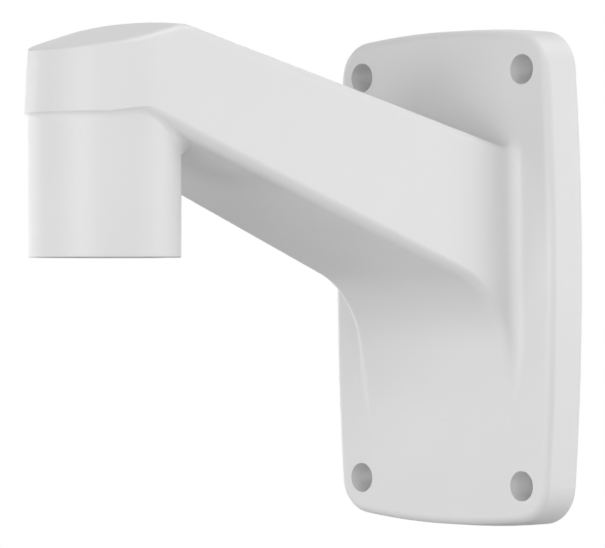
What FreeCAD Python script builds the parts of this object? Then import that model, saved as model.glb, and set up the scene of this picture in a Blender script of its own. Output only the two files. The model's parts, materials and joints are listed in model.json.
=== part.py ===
import FreeCAD, Part
import math
import os
from FreeCAD import Vector

# Wall bracket that carries a security camera on a threaded spigot: one hollow die casting.
# Millimetres. Origin: centre of the plate's back face, on the wall. +X right, +Z up,
# and -Y out of the wall towards the spigot. "Out" is a distance from the plate's front face.

# Wall plate, bowed a little on all four sides and narrowing away from the wall
plate_width = 125.2           # on the wall, across the middle
plate_height = 206.4
plate_depth = 17.0
plate_draft = 5.0             # degrees
plate_side_bow = 4.5          # bulge of the long sides
plate_end_bow = 4.5           # bulge of the short ends
plate_corner_radius = 16.6
plate_rim_radius = 3.6
plate_skin = 5.0              # thickness of the front face
rim_wall = 4.5                # wall round the open back

# Four screw holes, each with a deep recess for the screw's head
screw_spacing_x = 90.0
screw_spacing_z = 169.0
screw_recess_radius = 6.15
screw_hole_radius = 3.5
screw_seat = 5.0              # metal left under the screw's head
boss_radius = 10.0

# Low ribs across the floor of the open back
rib_thickness = 3.5
rib_height = 5.0

# Arm seen from above
spigot_reach = 203.0          # wall to spigot axis
root_width = 84.4             # across the arm where it leaves the plate
head_radius = 30.2            # round end, measured at its lower edge
side_draft = 1.0              # degrees that the sides lean in towards the top
nose_draft = 4.2              # degrees that the round end leans back at its foremost point
arm_wall = 4.5

# Arm seen from the side, heights from the middle of the plate
top_height_at_plate = 55.3
top_rise = 13.6               # degrees
tip_height = 84.9             # where the top ends, at the round end's foremost point
front_fall = 15.9             # degrees
ridge_radius = 12.0           # between the rising top and the falling front
crown_radius = 260.0          # the top is arched from side to side
under_height_at_plate = -10.8  # the straight underside, carried on to the plate
under_rise = 20.35            # degrees
ramp_foot = -53.5             # where the ramp's line meets the plate
ramp_lean = 14.0              # degrees off the plate's face
toe_foot = -59.0              # the ramp's last stretch lies flatter and ends here
toe_lean = 10.0
toe_radius = 150.0            # between that stretch and the ramp
ramp_radius = 43.0
head_floor = 62.3             # flat underside of the round end
knee_radius = 40.0            # between the straight underside and the flat one

# Edge roundings of the arm
top_edge_radius = 3.0
tip_edge_radius = 0.6         # the top edge sharpens to this at the foremost point
under_edge_radius = 4.6
root_fillet_radius = 5.2

# Spigot with its threaded bore
spigot_radius = 29.0
spigot_mouth = 7.5            # height of its open end
spigot_fillet_radius = 3.2
mouth_edge = 0.5
thread_radius = 24.15         # bore at the thread's full depth
thread_length = 27.0
thread_lead_in = 1.2          # chamfer at the mouth of the thread
passage_radius = 22.0         # plain bore between the thread and the hollow head

overrun = 10.0                # how far a cutting body runs past what it cuts
touching = 0.02               # two places closer than this are the same place
hair = 0.01                   # a body made to contain another stands this much outside it

axis_out = spigot_reach - plate_depth


def spot(out, up, across=0.0):
    """A point given by its distance out from the plate, its height and its place across."""
    return Vector(across, -(plate_depth + out), up)


def slope(degrees):
    return math.tan(math.radians(degrees))


# A line in the side view is (out, up, angle in radians)


def line_through(out, up, degrees):
    return out, up, math.radians(degrees)


def moved_left(line, distance):
    out, up, angle = line
    return out - distance * math.sin(angle), up + distance * math.cos(angle), angle


def height_on(line, out):
    return line[1] + (out - line[0]) * math.tan(line[2])


def crossing(first, second):
    across = (second[0] - first[0]) * math.sin(second[2])
    rise = (second[1] - first[1]) * math.cos(second[2])
    along = (across - rise) / math.sin(second[2] - first[2])
    return first[0] + along * math.cos(first[2]), first[1] + along * math.sin(first[2])


def side_face(points, bends):
    """Closed face in the middle plane. The point at each index in bends is rounded."""
    corners = [spot(out, up) for out, up in points]
    edges = []
    joints = []
    for index, corner in enumerate(corners):
        if index not in bends:
            joints.append((corner, corner))
            continue
        back = (corners[index - 1] - corner).normalize()
        ahead = (corners[index + 1] - corner).normalize()
        half_angle = back.getAngle(ahead) / 2
        setback = bends[index] / math.tan(half_angle)
        start = corner + back * setback
        end = corner + ahead * setback
        to_arc = bends[index] / math.sin(half_angle) - bends[index]
        middle = corner + (back + ahead).normalize() * to_arc
        edges.append(Part.Arc(start, middle, end).toShape())
        joints.append((start, end))
    for index, joint in enumerate(joints):
        leaving = joints[index - 1][1]
        edges.append(Part.LineSegment(leaving, joint[0]).toShape())
    return Part.Face(Part.Wire(Part.__sortEdges__(edges)))


def end_radius(height):
    return head_radius - (height - head_floor) * slope(side_draft)


def end_centre(height):
    """How far out the middle of the round end lies. It leans back more than the sides lean in."""
    return axis_out - (height - head_floor) * (slope(nose_draft) - slope(side_draft))


def side_taper():
    """Angle between each side of the arm and the middle plane, the same at every height."""
    radius = end_radius(0.0)
    centre_out = end_centre(0.0)
    half_width = root_width / 2
    return math.acos(radius / math.hypot(half_width, centre_out)) - math.atan2(centre_out, half_width)


def plan_outline(height, inset, start_out, round_end):
    """The arm at one height: two tapering sides that run into a round end or straight on."""
    taper = side_taper()
    radius = end_radius(height) - inset
    centre_out = end_centre(height)
    touch_out = centre_out + radius * math.sin(taper)
    touch_across = radius * math.cos(taper)
    root_across = touch_across + (touch_out - start_out) * math.tan(taper)
    roots = [spot(start_out, height, side * root_across) for side in (1, -1)]
    touches = [spot(touch_out, height, side * touch_across) for side in (1, -1)]
    if not round_end:
        ends = [root + (touch - root) * run_on for root, touch in zip(roots, touches)]
        return Part.makePolygon([roots[0], ends[0], ends[1], roots[1], roots[0]])
    diagonal = radius * math.sqrt(0.5)
    nose = spot(centre_out + radius, height)
    middles = [spot(centre_out + diagonal, height, side * diagonal) for side in (1, -1)]
    return Part.Wire([
        Part.LineSegment(roots[0], touches[0]).toShape(),
        Part.Arc(touches[0], middles[0], nose).toShape(),
        Part.Arc(nose, middles[1], touches[1]).toShape(),
        Part.LineSegment(touches[1], roots[1]).toShape(),
        Part.LineSegment(roots[1], roots[0]).toShape(),
    ])


run_on = 1.25                 # sides that run straight on are this much longer
arm_low = toe_foot - 3 * overrun
arm_high = top_height_at_plate + axis_out * slope(top_rise) + overrun


def wall_between(below, above):
    """Flat wall between two straight edges, or a curved one between two arcs."""
    if isinstance(below.Curve, Part.Circle):
        return Part.makeRuledSurface(below, above)
    corners = [vertex.Point for vertex in below.Vertexes + above.Vertexes[::-1]]
    return Part.Face(Part.makePolygon(corners + corners[:1]))


def plan_prism(inset, start_out, round_end=True):
    """The drafted walls, from below the ramp's foot to above the ridge."""
    low, high = [plan_outline(height, inset, start_out, round_end) for height in (arm_low, arm_high)]
    walls = [wall_between(below, above) for below, above in zip(low.Edges, high.Edges)]
    shell = Part.Shell([Part.Face(low), Part.Face(high)] + walls)
    shell.sewShape()
    return Part.Solid(shell)


def crown_cutter(inset, start_out):
    """All that lies above the arched top, turned about an axis far below the arm."""
    rear = moved_left(line_through(0.0, top_height_at_plate, top_rise), -inset)
    tip_out = end_centre(tip_height) + end_radius(tip_height)
    front = moved_left(line_through(tip_out, tip_height, -front_fall), -inset)
    ridge = crossing(rear, front)
    from_out = start_out - overrun
    to_out = axis_out + head_radius + overrun
    ceiling = arm_high + 2 * overrun
    low_rear = height_on(rear, from_out)
    points = [
        (from_out, low_rear),
        ridge,
        (to_out, height_on(front, to_out)),
        (to_out, ceiling),
        (from_out, ceiling),
    ]
    axis_height = ridge[1] + inset - crown_radius
    half_sweep = math.degrees(math.asin((root_width / 2 + overrun) / (low_rear - axis_height)))
    face = side_face(points, {1: ridge_radius - min(inset, ridge_radius / 2)})
    pivot = Vector(0, 0, axis_height)
    along = Vector(0, 1, 0)
    face.rotate(pivot, along, -half_sweep)
    return face.revolve(pivot, along, 2 * half_sweep)


def under_cutter(inset, start_out, toe=True):
    """All that lies below the ramp, the straight underside and the flat one under the head."""
    ramp = moved_left(line_through(0.0, ramp_foot, 90 - ramp_lean), inset)
    under = moved_left(line_through(0.0, under_height_at_plate, under_rise), inset)
    flat = moved_left(line_through(0.0, head_floor, 0.0), inset)
    from_out = start_out - overrun
    to_out = run_on * (end_centre(arm_low) + end_radius(arm_low))
    bends = {1: ramp_radius + inset, 2: knee_radius + inset}
    foot = [(from_out, height_on(ramp, from_out))]
    if toe:
        last_stretch = line_through(0.0, toe_foot, 90 - toe_lean)
        foot = [(from_out, height_on(last_stretch, from_out)), crossing(last_stretch, ramp)]
        bends = {1: toe_radius, 2: ramp_radius + inset, 3: knee_radius + inset}
    bottom = foot[0][1] - overrun
    points = foot + [
        crossing(ramp, under),
        crossing(under, flat),
        (to_out, head_floor + inset),
        (to_out, bottom),
        (from_out, bottom),
    ]
    face = side_face(points, bends)
    half_width = plate_width / 2 + overrun
    face.translate(Vector(-half_width, 0, 0))
    return face.extrude(Vector(2 * half_width, 0, 0))


def upright_cylinder(radius, low, high):
    """Round the spigot's axis, with its seam on the plate's side, clear of the rounded edges."""
    cylinder = Part.makeCylinder(radius, high - low, spot(axis_out, low), Vector(0, 0, 1))
    cylinder.rotate(spot(axis_out, low), Vector(0, 0, 1), 90)
    return cylinder


def face_normal(face):
    low_u, high_u, low_v, high_v = face.ParameterRange
    return face.normalAt((low_u + high_u) / 2, (low_v + high_v) / 2)


def is_side(face):
    return abs(face_normal(face).x) > 0.3


def is_top(face):
    return face_normal(face).z > 0.5


def is_under(face):
    return face_normal(face).z < -0.1 and not is_side(face)


def is_plate_front(face):
    box = face.BoundBox
    return box.YLength < touching and abs(box.YMin + plate_depth) < touching


def is_arm_skin(face):
    return face.BoundBox.YMin < -plate_depth - touching and face_normal(face).z > -0.5


def shared_edges(shape, first_kind, second_kind):
    """Edges between a face of one kind and a face of the other, each once."""
    first = [edge for face in shape.Faces if first_kind(face) for edge in face.Edges]
    second = [edge for face in shape.Faces if second_kind(face) for edge in face.Edges]
    return [edge for edge in first if any(edge.isSame(other) for other in second)]


def round_top_edges(body):
    """Round the long top edges, sharpening round the end to its foremost point."""
    chain = shared_edges(body, is_side, is_top)
    sheet = FreeCAD.newDocument()
    base = sheet.addObject("Part::Feature", "Body")
    base.Shape = body
    rounding = sheet.addObject("Part::Fillet", "TopEdges")
    rounding.Base = base
    radii = []
    for number, edge in enumerate(body.Edges, start=1):
        if not any(edge.isSame(other) for other in chain):
            continue
        ends = [edge.valueAt(edge.FirstParameter), edge.valueAt(edge.LastParameter)]
        if edge.Orientation == "Reversed":
            ends.reverse()
        first, last = [tip_edge_radius if abs(end.x) < touching else top_edge_radius for end in ends]
        radii.append((number, first, last))
    rounding.Edges = radii
    sheet.recompute()
    rounded = rounding.Shape.copy()
    FreeCAD.closeDocument(sheet.Name)
    return rounded


def on_slab(body, bottom, top, swell=0.0):
    """The body with a slab of the plate behind it and the corner all round its root filled."""
    half_width = root_width / 2 - arm_low * slope(side_draft) + 2 * root_fillet_radius
    corner = Vector(-half_width, -plate_depth - swell, bottom)
    body = body.fuse(Part.makeBox(2 * half_width, plate_skin, top - bottom, corner))
    return body.makeFillet(root_fillet_radius - swell, shared_edges(body, is_plate_front, is_arm_skin))


def arm_from_above():
    body = plan_prism(0.0, -plate_skin).cut(crown_cutter(0.0, -plate_skin))
    return on_slab(round_top_edges(body), arm_low, top_height_at_plate + 2 * root_fillet_radius)


def arm_from_below():
    """Underside, its rounded edges and the spigot, on sides that run straight on past the head."""
    body = plan_prism(-hair, -plate_skin, round_end=False).cut(under_cutter(0.0, -plate_skin))
    body = body.makeFillet(under_edge_radius, shared_edges(body, is_side, is_under))
    body = on_slab(body, toe_foot - overrun, arm_high, swell=hair)
    body = body.fuse(upright_cylinder(spigot_radius, spigot_mouth, head_floor + under_edge_radius + 1.0))
    return body.makeFillet(spigot_fillet_radius, spigot_ring(body))


def spigot_ring(body):
    """Edges where the spigot meets the underside."""
    ring = []
    for edge in body.Edges:
        middle = edge.valueAt((edge.FirstParameter + edge.LastParameter) / 2)
        from_axis = math.hypot(middle.x, middle.y + spigot_reach)
        upright = edge.BoundBox.XLength < touching and edge.BoundBox.YLength < touching
        if abs(from_axis - spigot_radius) < touching and edge.BoundBox.ZMin > spigot_mouth + 1 and not upright:
            ring.append(edge)
    return ring


def arm_inside():
    start_out = -plate_skin - 1.0
    body = plan_prism(arm_wall, start_out).cut(crown_cutter(arm_wall, start_out))
    return body.cut(under_cutter(arm_wall, start_out, toe=False))


def plate_outline(inset, out_from_wall):
    """Bowed outline with round corners, drawn in by inset and by the draft."""
    half_width = plate_width / 2
    half_height = plate_height / 2
    corners = []
    middles = []
    for across, up in ((1, -1), (1, 1), (-1, 1), (-1, -1)):
        corners.append(Vector(across * (half_width - plate_side_bow), 0, up * (half_height - plate_end_bow)))
    for across, up in ((1, 0), (0, 1), (-1, 0), (0, -1)):
        middles.append(Vector(across * half_width, 0, up * half_height))
    edges = []
    for index, middle in enumerate(middles):
        edges.append(Part.Arc(corners[index], middle, corners[(index + 1) % 4]).toShape())
    outline = Part.Wire(edges).makeOffset2D(-plate_corner_radius)
    outline = outline.makeOffset2D(plate_corner_radius - inset - out_from_wall * slope(plate_draft))
    outline.translate(Vector(0, -out_from_wall, 0))
    return outline


def plate_block(inset, depth):
    return Part.makeLoft([plate_outline(inset, 0.0), plate_outline(inset, depth)], True, True)


def screw_places():
    for across in (-1, 1):
        for up in (-1, 1):
            yield across * screw_spacing_x / 2, up * screw_spacing_z / 2


def screw_cylinder(place, radius, from_y, to_y):
    return Part.makeCylinder(radius, from_y - to_y, Vector(place[0], from_y, place[1]), Vector(0, -1, 0))


def rib(low_x, high_x, low_z, high_z):
    floor = plate_depth - plate_skin
    return Part.makeBox(high_x - low_x, rib_height, high_z - low_z, Vector(low_x, -floor, low_z))


def ribs():
    """Ribs in line with the screws, at mid-height and above and below the arm's opening."""
    half = rib_thickness / 2
    edge_x = plate_width / 2 - rim_wall / 2
    edge_z = plate_height / 2 - rim_wall / 2
    made = []
    for side in (-1, 1):
        x = side * screw_spacing_x / 2
        z = side * screw_spacing_z / 2
        made.append(rib(x - half, x + half, -edge_z, edge_z))
        made.append(rib(-edge_x + plate_side_bow, edge_x - plate_side_bow, z - half, z + half))
        made.append(rib(min(x, side * edge_x), max(x, side * edge_x), -half, half))
    made.append(rib(-half, half, top_height_at_plate, edge_z))
    made.append(rib(-half, half, -edge_z, toe_foot - overrun))
    return made


def open_back():
    """The hollow behind the plate's face, less the screw bosses and the ribs."""
    floor = plate_depth - plate_skin
    hollow = plate_block(rim_wall, floor)
    bosses = [screw_cylinder(place, boss_radius, 0.0, -floor) for place in screw_places()]
    return hollow.cut(bosses + ribs())


def bore():
    """Thread, its lead-in, and the plain passage up into the hollow head."""
    thread_top = spigot_mouth + thread_length
    thread = upright_cylinder(thread_radius, spigot_mouth - 1.0, thread_top)
    lead_in = Part.makeCone(
        thread_radius + thread_lead_in, thread_radius, thread_lead_in, spot(axis_out, spigot_mouth), Vector(0, 0, 1)
    )
    passage = upright_cylinder(passage_radius, thread_top - 1.0, head_floor + arm_wall + 1.0)
    return [thread, lead_in, passage]


def screw_cuts():
    cuts = []
    for place in screw_places():
        cuts.append(screw_cylinder(place, screw_hole_radius, 1.0, -plate_depth - 1.0))
        cuts.append(screw_cylinder(place, screw_recess_radius, -screw_seat, -plate_depth - 1.0))
    return cuts


def plate_outside():
    block = plate_block(0.0, plate_depth)
    front = [edge for edge in block.Edges if edge.BoundBox.YMax < -plate_depth + touching]
    return block.makeFillet(plate_rim_radius, front)


def bracket():
    body = arm_from_above().common(arm_from_below()).fuse(plate_outside())
    mouth = [edge for edge in body.Edges if edge.BoundBox.ZMax < spigot_mouth + touching]
    mouth = [edge for edge in mouth if edge.BoundBox.YMax < -plate_depth and edge.BoundBox.ZLength < touching]
    mouth = [edge for edge in mouth if edge.BoundBox.ZMin > spigot_mouth - touching]
    body = body.makeChamfer(mouth_edge, mouth)
    return body.cut([open_back(), arm_inside()] + bore() + screw_cuts())


os.makedirs("parts", exist_ok=True)
solid = bracket().Solids[0]
solid.exportStep("parts/bracket.step")
print("bracket", "valid" if solid.isValid() else "broken", round(solid.Volume / 1000.0, 1), "cm3")
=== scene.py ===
import json
import math

import bpy
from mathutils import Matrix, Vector
from mathutils.geometry import intersect_sphere_sphere_2d

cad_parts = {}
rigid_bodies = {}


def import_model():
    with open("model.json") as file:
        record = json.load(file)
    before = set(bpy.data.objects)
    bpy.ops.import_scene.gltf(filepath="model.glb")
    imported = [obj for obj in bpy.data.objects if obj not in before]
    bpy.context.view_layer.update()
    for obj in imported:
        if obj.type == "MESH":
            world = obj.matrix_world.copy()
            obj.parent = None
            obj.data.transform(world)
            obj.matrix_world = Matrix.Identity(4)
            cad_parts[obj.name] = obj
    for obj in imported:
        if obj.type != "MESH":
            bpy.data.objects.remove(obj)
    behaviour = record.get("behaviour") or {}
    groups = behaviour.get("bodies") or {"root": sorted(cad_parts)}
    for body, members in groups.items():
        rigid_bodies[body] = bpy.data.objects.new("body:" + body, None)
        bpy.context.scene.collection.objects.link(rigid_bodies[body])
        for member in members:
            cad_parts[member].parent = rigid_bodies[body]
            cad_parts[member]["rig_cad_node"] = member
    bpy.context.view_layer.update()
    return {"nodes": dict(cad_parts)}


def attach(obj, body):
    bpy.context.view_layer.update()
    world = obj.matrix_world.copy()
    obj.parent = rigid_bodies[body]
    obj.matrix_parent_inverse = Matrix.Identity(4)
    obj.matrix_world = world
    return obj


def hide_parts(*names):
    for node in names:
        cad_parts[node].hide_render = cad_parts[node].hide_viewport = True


# Die-cast wall bracket for a security camera. Satin white powder coat all over,
# bare machined metal inside the spigot. Metres, in the CAD frame: the wall is y = 0.

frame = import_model()
bracket = frame["nodes"]["bracket"]
print("frame loaded")

mm = 0.001
near = 0.001 * mm                # a mesh corner this close to a place counts as on it
plainWhite = (1.0, 1.0, 1.0, 1.0)

# the spigot's bore, as in the CAD
bore = {
    "axisY": -203 * mm,
    "wallRadius": 24.15 * mm,
    "threadTop": 34.5 * mm,
}


def hexColour(text):
    # sRGB hex to the linear values that a shader takes
    channels = [int(text[i:i + 2], 16) / 255 for i in (1, 3, 5)]
    linear = [c / 12.92 if c <= 0.04045 else ((c + 0.055) / 1.055) ** 2.4 for c in channels]
    return (*linear, 1.0)


def addNode(tree, kind, settings=None, inputs=None):
    # an input is a plain value or another node's output
    node = tree.nodes.new(kind)
    for name, value in (settings or {}).items():
        setattr(node, name, value)
    for name, value in (inputs or {}).items():
        if isinstance(value, bpy.types.NodeSocket):
            tree.links.new(value, node.inputs[name])
        else:
            node.inputs[name].default_value = value
    return node


def newMaterial(name):
    material = bpy.data.materials.new(name)
    material.use_nodes = True
    material.node_tree.nodes.clear()
    return material, material.node_tree


def deselectAll():
    bpy.ops.object.select_all(action="DESELECT")


# Satin white polyester powder coat on die-cast aluminium: an even pale grey-white with a low
# satin sheen and the faint orange-peel skin that the powder leaves as it flows out in the oven.
# Where the bore is masked off before coating, the turned metal shows.
coat = {
    "colour": "#E3E3E3",
    "thinColour": "#DEDEDE",     # slightly greyer where the film is thinner
    "roughness": (0.40, 0.47),
    "peelSize": 1.4 * mm,        # real orange peel, ripple to ripple
    "peelDepth": 0.012 * mm,
    "grainSize": 0.35 * mm,      # fine tooth between the ripples
    "grainDepth": 0.002 * mm,
    "driftSize": 45 * mm,        # how far apart the film's thick and thin places lie
    "maskMargin": 1.3 * mm,      # the bare metal reaches over the thread's lead-in
}
machined = {
    "colour": "#B9BABB",
    "roughness": 0.34,
    "roughnessDrift": (-0.06, 0.08),
    "driftSize": 6 * mm,
    "toolMark": 0.36 * mm,       # feed of the turning tool, one mark to the next
    "toolDepth": 0.004 * mm,
}
waveSpacing = 0.314              # between a wave texture's bands at scale 1


# A Mix node's sockets go by number: 2 and 3 mix values into output 0, 6 and 7 mix colours into output 2.
def coatedAluminium():
    material, tree = newMaterial("satinWhitePowderCoatOnDieCastAluminium")
    place = addNode(tree, "ShaderNodeTexCoord").outputs["Object"]

    drift = addNode(tree, "ShaderNodeTexNoise", None,
                    {"Vector": place, "Scale": 1 / coat["driftSize"], "Detail": 2.0})
    colour = addNode(tree, "ShaderNodeMix", {"data_type": "RGBA"},
                     {"Factor": drift.outputs["Fac"],
                      6: hexColour(coat["thinColour"]), 7: hexColour(coat["colour"])})
    sheen = addNode(tree, "ShaderNodeMapRange", None,
                    {"Value": drift.outputs["Fac"],
                     "To Min": coat["roughness"][0], "To Max": coat["roughness"][1]})
    peel = addNode(tree, "ShaderNodeTexNoise", None,
                   {"Vector": place, "Scale": 1 / coat["peelSize"], "Detail": 1.0, "Roughness": 0.4})
    grain = addNode(tree, "ShaderNodeTexNoise", None,
                    {"Vector": place, "Scale": 1 / coat["grainSize"], "Detail": 0.0})
    grainBump = addNode(tree, "ShaderNodeBump", None,
                        {"Height": grain.outputs["Fac"], "Distance": coat["grainDepth"]})
    peelBump = addNode(tree, "ShaderNodeBump", None,
                       {"Height": peel.outputs["Fac"], "Distance": coat["peelDepth"],
                        "Normal": grainBump.outputs["Normal"]})

    # bare metal within the bore: close to the spigot's axis and below the end of the thread
    fromAxis = addNode(tree, "ShaderNodeVectorMath", {"operation": "MULTIPLY"},
                       {0: place, 1: (1.0, 1.0, 0.0)})
    distance = addNode(tree, "ShaderNodeVectorMath", {"operation": "DISTANCE"},
                       {0: fromAxis.outputs["Vector"], 1: (0.0, bore["axisY"], 0.0)})
    inside = addNode(tree, "ShaderNodeMath", {"operation": "LESS_THAN"},
                     {0: distance.outputs["Value"], 1: bore["wallRadius"] + coat["maskMargin"]})
    height = addNode(tree, "ShaderNodeSeparateXYZ", None, {0: place})
    below = addNode(tree, "ShaderNodeMath", {"operation": "LESS_THAN"},
                    {0: height.outputs["Z"], 1: bore["threadTop"]})
    bare = addNode(tree, "ShaderNodeMath", {"operation": "MULTIPLY"},
                   {0: inside.outputs["Value"], 1: below.outputs["Value"]})

    baseColour = addNode(tree, "ShaderNodeMix", {"data_type": "RGBA"},
                         {"Factor": bare.outputs["Value"],
                          6: colour.outputs[2], 7: hexColour(machined["colour"])})
    roughness = addNode(tree, "ShaderNodeMix", {"data_type": "FLOAT"},
                        {"Factor": bare.outputs["Value"],
                         2: sheen.outputs["Result"], 3: machined["roughness"]})
    surface = addNode(tree, "ShaderNodeBsdfPrincipled", None,
                      {"Base Color": baseColour.outputs[2], "Roughness": roughness.outputs[0],
                       "Metallic": bare.outputs["Value"], "IOR": 1.5, "Normal": peelBump.outputs["Normal"]})
    addNode(tree, "ShaderNodeOutputMaterial", None, {"Surface": surface.outputs["BSDF"]})
    return material


# Die-cast aluminium cut with a tap: bright bare metal, with fine turned rings round the bore.
def machinedAluminium():
    material, tree = newMaterial("machinedDieCastAluminium")
    place = addNode(tree, "ShaderNodeTexCoord").outputs["Object"]
    rings = addNode(tree, "ShaderNodeTexWave",
                    {"wave_type": "BANDS", "bands_direction": "Z", "wave_profile": "SIN"},
                    {"Vector": place, "Scale": waveSpacing / machined["toolMark"], "Distortion": 0.4})
    drift = addNode(tree, "ShaderNodeTexNoise", None,
                    {"Vector": place, "Scale": 1 / machined["driftSize"], "Detail": 3.0})
    lowest, highest = [machined["roughness"] + change for change in machined["roughnessDrift"]]
    roughness = addNode(tree, "ShaderNodeMapRange", None,
                        {"Value": drift.outputs["Fac"], "To Min": lowest, "To Max": highest})
    bump = addNode(tree, "ShaderNodeBump", None,
                   {"Height": rings.outputs["Fac"], "Distance": machined["toolDepth"]})
    surface = addNode(tree, "ShaderNodeBsdfPrincipled", None,
                      {"Base Color": hexColour(machined["colour"]), "Metallic": 1.0,
                       "Roughness": roughness.outputs["Result"], "Normal": bump.outputs["Normal"]})
    addNode(tree, "ShaderNodeOutputMaterial", None, {"Surface": surface.outputs["BSDF"]})
    return material


# The casting is shown by a merged copy of the CAD node, with three mends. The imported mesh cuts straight
# across the plate's rounded rim in places, so the copy's rim is divided and laid back on its rounding.
# The ramp's foot meets the plate in a faint crease, and the copy is shaded as if the coat filled it.
# The screw recesses are a little deeper, so that their floors lie out of sight in the photograph's view.
plate = {
    "halfWidth": 62.6 * mm,      # on the wall, across the middle
    "halfHeight": 103.2 * mm,
    "frontY": -17 * mm,
    "bow": 4.5 * mm,             # bulge of each side and end
    "cornerRadius": 16.6 * mm,
    "draft": math.radians(5),
    "rimRadius": 3.6 * mm,
    "rimCuts": 3,                # new points along each edge within the rim
    "rimEdge": 0.01 * mm,        # new points this close to the flat front stay where they are
    "flatNormal": -0.9999,       # faces that look further forward than this are the flat front
}
recess = {
    "across": 45 * mm,           # the screws' places, either side of the middle
    "up": 84.5 * mm,
    "radius": 6.15 * mm,
    "floorY": -5 * mm,
    "deeperFloorY": -2.8 * mm,
}
rampFoot = {
    "low": -59.5 * mm,
    "high": -45.3 * mm,
    "halfWidth": 39.4 * mm,
    "lean": math.radians(10),
    "alike": 0.998,              # how closely a normal follows the ramp's to be turned
}
mergeDistance = 0.0005 * mm

# depths of the line that the rim's rounding is struck from, and of its end on the drafted walls
rimLineY = plate["frontY"] + plate["rimRadius"]
rimEndY = rimLineY - plate["rimRadius"] * math.sin(plate["draft"])


def bowRadius(halfLength):
    return (halfLength ** 2 + plate["bow"] ** 2) / (2 * plate["bow"])


def rimLineArcs():
    # centre and radius of that line's arcs, in one quarter of the plate seen from in front
    sideRadius = bowRadius(plate["halfHeight"] - plate["bow"])
    endRadius = bowRadius(plate["halfWidth"] - plate["bow"])
    sideCentre = (plate["halfWidth"] - sideRadius, 0.0)
    endCentre = (0.0, plate["halfHeight"] - endRadius)
    meetings = intersect_sphere_sphere_2d(sideCentre, sideRadius - plate["cornerRadius"],
                                          endCentre, endRadius - plate["cornerRadius"])
    cornerCentre = max(meetings, key=lambda point: point.x)
    inset = plate["rimRadius"] / math.cos(plate["draft"]) - rimLineY * math.tan(plate["draft"])
    return {"side": (sideCentre, sideRadius - inset),
            "end": (endCentre, endRadius - inset),
            "corner": (cornerCentre, plate["cornerRadius"] - inset)}


arcs = rimLineArcs()


def turnAbout(centre, point):
    return math.atan2(point[1] - centre[1], point[0] - centre[0])


def fromRimLine(place):
    # the way to this place from the nearest point of the line that the rounding is struck from
    quarter = (abs(place.x), abs(place.z))
    corner = arcs["corner"][0]
    name = "corner"
    if turnAbout(arcs["side"][0], quarter) < turnAbout(arcs["side"][0], corner):
        name = "side"
    elif turnAbout(arcs["end"][0], quarter) > turnAbout(arcs["end"][0], corner):
        name = "end"
    centre, radius = arcs[name]
    turn = turnAbout(centre, quarter)
    out = math.dist(centre, quarter) - radius
    return Vector((math.copysign(out * math.cos(turn), place.x), place.y - rimLineY,
                   math.copysign(out * math.sin(turn), place.z)))


def rimFaces(mesh):
    found = []
    for face in mesh.polygons:
        depths = [mesh.vertices[i].co.y for i in face.vertices]
        between = min(depths) > plate["frontY"] - near and max(depths) < rimEndY + near
        if between and face.normal.y > plate["flatNormal"]:
            found.append(face)
    return found


def divideRim(casting):
    mesh = casting.data
    bpy.ops.mesh.select_mode(type="FACE")
    bpy.ops.mesh.select_all(action="DESELECT")
    bpy.ops.object.mode_set(mode="OBJECT")
    for face in rimFaces(mesh):
        face.select = True
    bpy.ops.object.mode_set(mode="EDIT")
    bpy.ops.mesh.subdivide(number_cuts=plate["rimCuts"])
    bpy.ops.object.mode_set(mode="OBJECT")
    for index in {i for face in rimFaces(mesh) for i in face.vertices}:
        place = mesh.vertices[index].co
        if plate["frontY"] + plate["rimEdge"] < place.y < rimEndY - near:
            way = fromRimLine(place)
            place += way * (plate["rimRadius"] / way.length - 1)


def deepenRecesses(mesh):
    for vertex in mesh.vertices:
        fromScrew = math.hypot(abs(vertex.co.x) - recess["across"], abs(vertex.co.z) - recess["up"])
        if fromScrew < recess["radius"] + near and abs(vertex.co.y - recess["floorY"]) < near:
            vertex.co.y = recess["deeperFloorY"]


def rimAndFootNormals(mesh, normals):
    for face in rimFaces(mesh):
        for corner in face.loop_indices:
            place = mesh.vertices[mesh.loops[corner].vertex_index].co
            normals[corner] = fromRimLine(place).normalized()
    # up the ramp's foot the surface turns little by little from the plate's way to its own
    low, high, lean = rampFoot["low"], rampFoot["high"], rampFoot["lean"]
    onRamp = Vector((0, -math.cos(lean), -math.sin(lean)))
    for corner, loop in enumerate(mesh.loops):
        place = mesh.vertices[loop.vertex_index].co
        within = low < place.z < high and abs(place.x) < rampFoot["halfWidth"]
        if within and normals[corner].dot(onRamp) > rampFoot["alike"]:
            turned = lean * (place.z - low) / (high - low)
            normals[corner] = Vector((0, -math.cos(turned), -math.sin(turned)))
    return normals


def makeCasting():
    deselectAll()
    bracket.select_set(True)
    bpy.context.view_layer.objects.active = bracket
    bpy.ops.object.duplicate()
    casting = bpy.context.object
    casting.name = "castBracket"
    del casting["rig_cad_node"]
    mesh = casting.data
    kept = mesh.attributes.new("keptNormal", "FLOAT_VECTOR", "CORNER")
    for corner, normal in zip(kept.data, mesh.corner_normals):
        corner.vector = normal.vector
    bpy.ops.object.mode_set(mode="EDIT")
    bpy.ops.mesh.select_all(action="SELECT")
    bpy.ops.mesh.remove_doubles(threshold=mergeDistance)
    divideRim(casting)
    deepenRecesses(mesh)
    kept = mesh.attributes["keptNormal"]
    normals = rimAndFootNormals(mesh, [corner.vector.copy() for corner in kept.data])
    mesh.attributes.remove(kept)
    mesh.normals_split_custom_set(normals)
    mesh.materials.clear()
    mesh.materials.append(coatedAluminium())
    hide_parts("bracket")
    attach(casting, "root")


makeCasting()
print("bracket coated")

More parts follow.
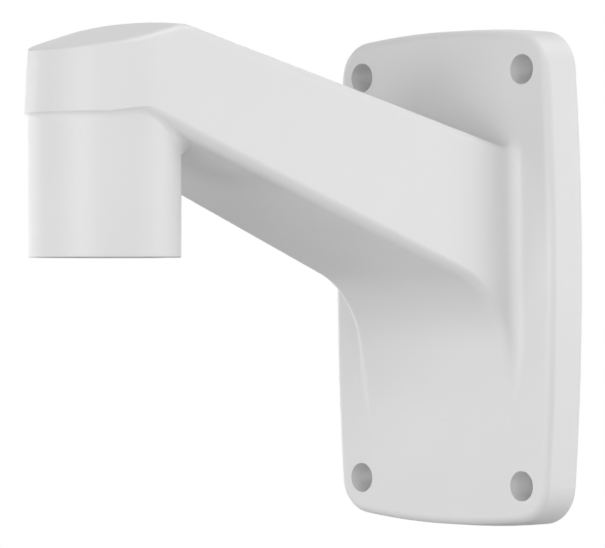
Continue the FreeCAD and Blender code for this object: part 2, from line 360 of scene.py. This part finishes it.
# Pipe thread in the spigot: one V-shaped ridge wound up the bore, 11.5 turns to the inch
thread = {
    "pitch": 2.209 * mm,
    "crest": 22.45 * mm,         # radius at the ridge's crest
    "root": 24.2 * mm,           # its foot stands a hair inside the bore's wall
    "foot": 1.95 * mm,           # width of the ridge at its foot
    "crestFlat": 0.25 * mm,
    "turns": 11,
    "steps": 72,                 # faces round one turn
    "start": 9.6 * mm,           # height of the first turn, above the lead-in
    "smoothBelow": math.radians(30),
}


def closeThreadEnds(ridge):
    # each open end is drawn together to a point on the bore's wall, as a cut thread runs out
    middle = thread["pitch"] * thread["turns"] / 2
    for atTop in (False, True):
        bpy.ops.object.mode_set(mode="EDIT")
        bpy.ops.mesh.select_all(action="DESELECT")
        bpy.ops.mesh.select_mode(type="VERT")
        bpy.ops.mesh.select_non_manifold(extend=False, use_wire=False, use_boundary=True,
                                         use_multi_face=False, use_non_contiguous=False, use_verts=False)
        bpy.ops.object.mode_set(mode="OBJECT")
        for corner in ridge.data.vertices:
            corner.select = corner.select and (corner.co.z > middle) == atTop
            if corner.select:
                corner.co.x *= thread["root"] / math.hypot(corner.co.x, corner.co.y)
        bpy.ops.object.mode_set(mode="EDIT")
        bpy.ops.mesh.merge(type="CENTER")
        bpy.ops.object.mode_set(mode="OBJECT")
    bpy.ops.object.mode_set(mode="EDIT")
    bpy.ops.mesh.select_all(action="SELECT")
    bpy.ops.mesh.normals_make_consistent(inside=False)
    bpy.ops.object.mode_set(mode="OBJECT")


def makeSpigotThread():
    deselectAll()
    bpy.ops.mesh.primitive_plane_add(size=1.0, location=(0, 0, 0))
    ridge = bpy.context.object
    ridge.name = "spigotThread"
    # the plane's four corners become the ridge's profile, foot outwards and crest towards the axis
    for corner in ridge.data.vertices:
        radius, width = thread["crest"], thread["crestFlat"]
        if corner.co.x > 0:
            radius, width = thread["root"], thread["foot"]
        corner.co = (radius, 0, math.copysign(width / 2, corner.co.y))
    bpy.ops.object.mode_set(mode="EDIT")
    bpy.ops.mesh.select_all(action="SELECT")
    bpy.ops.mesh.delete(type="ONLY_FACE")
    bpy.ops.object.mode_set(mode="OBJECT")
    winding = ridge.modifiers.new("winding", "SCREW")
    winding.axis = "Z"
    winding.angle = math.tau
    winding.screw_offset = thread["pitch"]
    winding.iterations = thread["turns"]
    winding.steps = thread["steps"]
    winding.render_steps = thread["steps"]
    winding.use_merge_vertices = False
    bpy.ops.object.modifier_apply(modifier=winding.name)
    closeThreadEnds(ridge)
    ridge.location = (0, bore["axisY"], thread["start"])
    bpy.ops.object.transform_apply(location=True, rotation=False, scale=False)
    bpy.ops.object.shade_smooth_by_angle(angle=thread["smoothBelow"])
    ridge.data.materials.append(machinedAluminium())
    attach(ridge, "root")


makeSpigotThread()
print("thread wound")

# Pale studio: a wide floor well below the bracket, which hangs in the air as on a white sheet
studio = {
    "floorSize": 34.0,
    "floorHeight": -2.2,
    "floorColour": "#F2F2F2",
    "floorGlow": 0.90,           # share of plain white that the camera sees in the floor
    "skyStrength": 0.22,
}


def makeFloor():
    deselectAll()
    bpy.ops.mesh.primitive_plane_add(size=studio["floorSize"], location=(0, 0, studio["floorHeight"]))
    floor = bpy.context.object
    floor.name = "studioFloor"
    material, tree = newMaterial("palePaperFloor")
    matt = addNode(tree, "ShaderNodeBsdfDiffuse", None, {"Color": hexColour(studio["floorColour"])})
    glow = addNode(tree, "ShaderNodeEmission", None, {"Color": plainWhite, "Strength": 1.0})
    ray = addNode(tree, "ShaderNodeLightPath")
    share = addNode(tree, "ShaderNodeMath", {"operation": "MULTIPLY"},
                    {0: ray.outputs["Is Camera Ray"], 1: studio["floorGlow"]})
    mixed = addNode(tree, "ShaderNodeMixShader", None,
                    {0: share.outputs["Value"], 1: matt.outputs["BSDF"], 2: glow.outputs["Emission"]})
    addNode(tree, "ShaderNodeOutputMaterial", None, {"Surface": mixed.outputs["Shader"]})
    floor.data.materials.append(material)


def makeSky():
    world = bpy.data.worlds.new("whiteStudio")
    world.use_nodes = True
    tree = world.node_tree
    tree.nodes.clear()
    ray = addNode(tree, "ShaderNodeLightPath")
    seen = addNode(tree, "ShaderNodeMath", {"operation": "MAXIMUM"},
                   {0: ray.outputs["Is Camera Ray"], 1: ray.outputs["Is Glossy Ray"]})
    seenOrThrough = addNode(tree, "ShaderNodeMath", {"operation": "MAXIMUM"},
                            {0: seen.outputs["Value"], 1: ray.outputs["Is Transmission Ray"]})
    soft = addNode(tree, "ShaderNodeBackground", None,
                   {"Color": plainWhite, "Strength": studio["skyStrength"]})
    white = addNode(tree, "ShaderNodeBackground", None, {"Color": plainWhite, "Strength": 1.0})
    mixed = addNode(tree, "ShaderNodeMixShader", None,
                    {0: seenOrThrough.outputs["Value"],
                     1: soft.outputs["Background"], 2: white.outputs["Background"]})
    addNode(tree, "ShaderNodeOutputWorld", None, {"Surface": mixed.outputs["Shader"]})
    bpy.context.scene.world = world


makeFloor()
makeSky()

# Large soft lamps all round, each aimed at the middle of the bracket. The turn is counted from
# straight in front of the wall towards the bracket's right, the rise from level. Power in watts.
lamps = {
    "rightHigh": {"turn": 60, "rise": 30, "power": 5.6},
    "rightBack": {"turn": 135, "rise": 0, "power": 4.9},
    "rightBackHigh": {"turn": 135, "rise": 60, "power": 8.4},
    "rightBackLow": {"turn": 150, "rise": -25, "power": 3.6},
    "rightLow": {"turn": 60, "rise": -25, "power": 3.4},
    "front": {"turn": 15, "rise": 0, "power": 7.6},
    "frontLow": {"turn": 330, "rise": -25, "power": 4.4},
    "left": {"turn": 285, "rise": 0, "power": 4.6},
    "leftBack": {"turn": 252, "rise": -10, "power": 4.0},
}
softbox = {
    "distance": 1.5,
    "size": 0.95,
    "aim": (0.0, -0.11, 0.0),    # the middle of the bracket
}


def makeLamp(name, lamp):
    turn, rise = math.radians(lamp["turn"]), math.radians(lamp["rise"])
    towards = (math.sin(turn) * math.cos(rise), -math.cos(turn) * math.cos(rise), math.sin(rise))
    place = [middle + softbox["distance"] * way for middle, way in zip(softbox["aim"], towards)]
    deselectAll()
    bpy.ops.object.light_add(type="AREA", location=place, rotation=(math.pi / 2 - rise, 0, turn))
    light = bpy.context.object
    light.name = name
    light.data.shape = "DISK"
    light.data.size = softbox["size"]
    light.data.energy = lamp["power"]
    light.visible_camera = False


for name, lamp in lamps.items():
    makeLamp(name, lamp)
print("studio lit")

# Camera at the photograph's angle: level with the bracket's middle, 45 degrees round to its right
view = {
    "place": (0.99186, -1.08904, 0.0),
    "turn": 45.0,
    "lens": 209.69,
    "sensor": 36.0,
    "shift": (-0.5, 3.7),        # of the middle, in the photograph's pixels
    "photoWidth": 605,
}


def makeCamera():
    deselectAll()
    bpy.ops.object.camera_add(location=view["place"], rotation=(math.pi / 2, 0, math.radians(view["turn"])))
    camera = bpy.context.object
    camera.name = "photographView"
    camera.data.sensor_width = view["sensor"]
    camera.data.lens = view["lens"]
    camera.data.shift_x, camera.data.shift_y = [pixels / view["photoWidth"] for pixels in view["shift"]]
    bpy.context.scene.camera = camera


makeCamera()
bpy.context.scene.view_settings.view_transform = "Standard"
print("camera set")
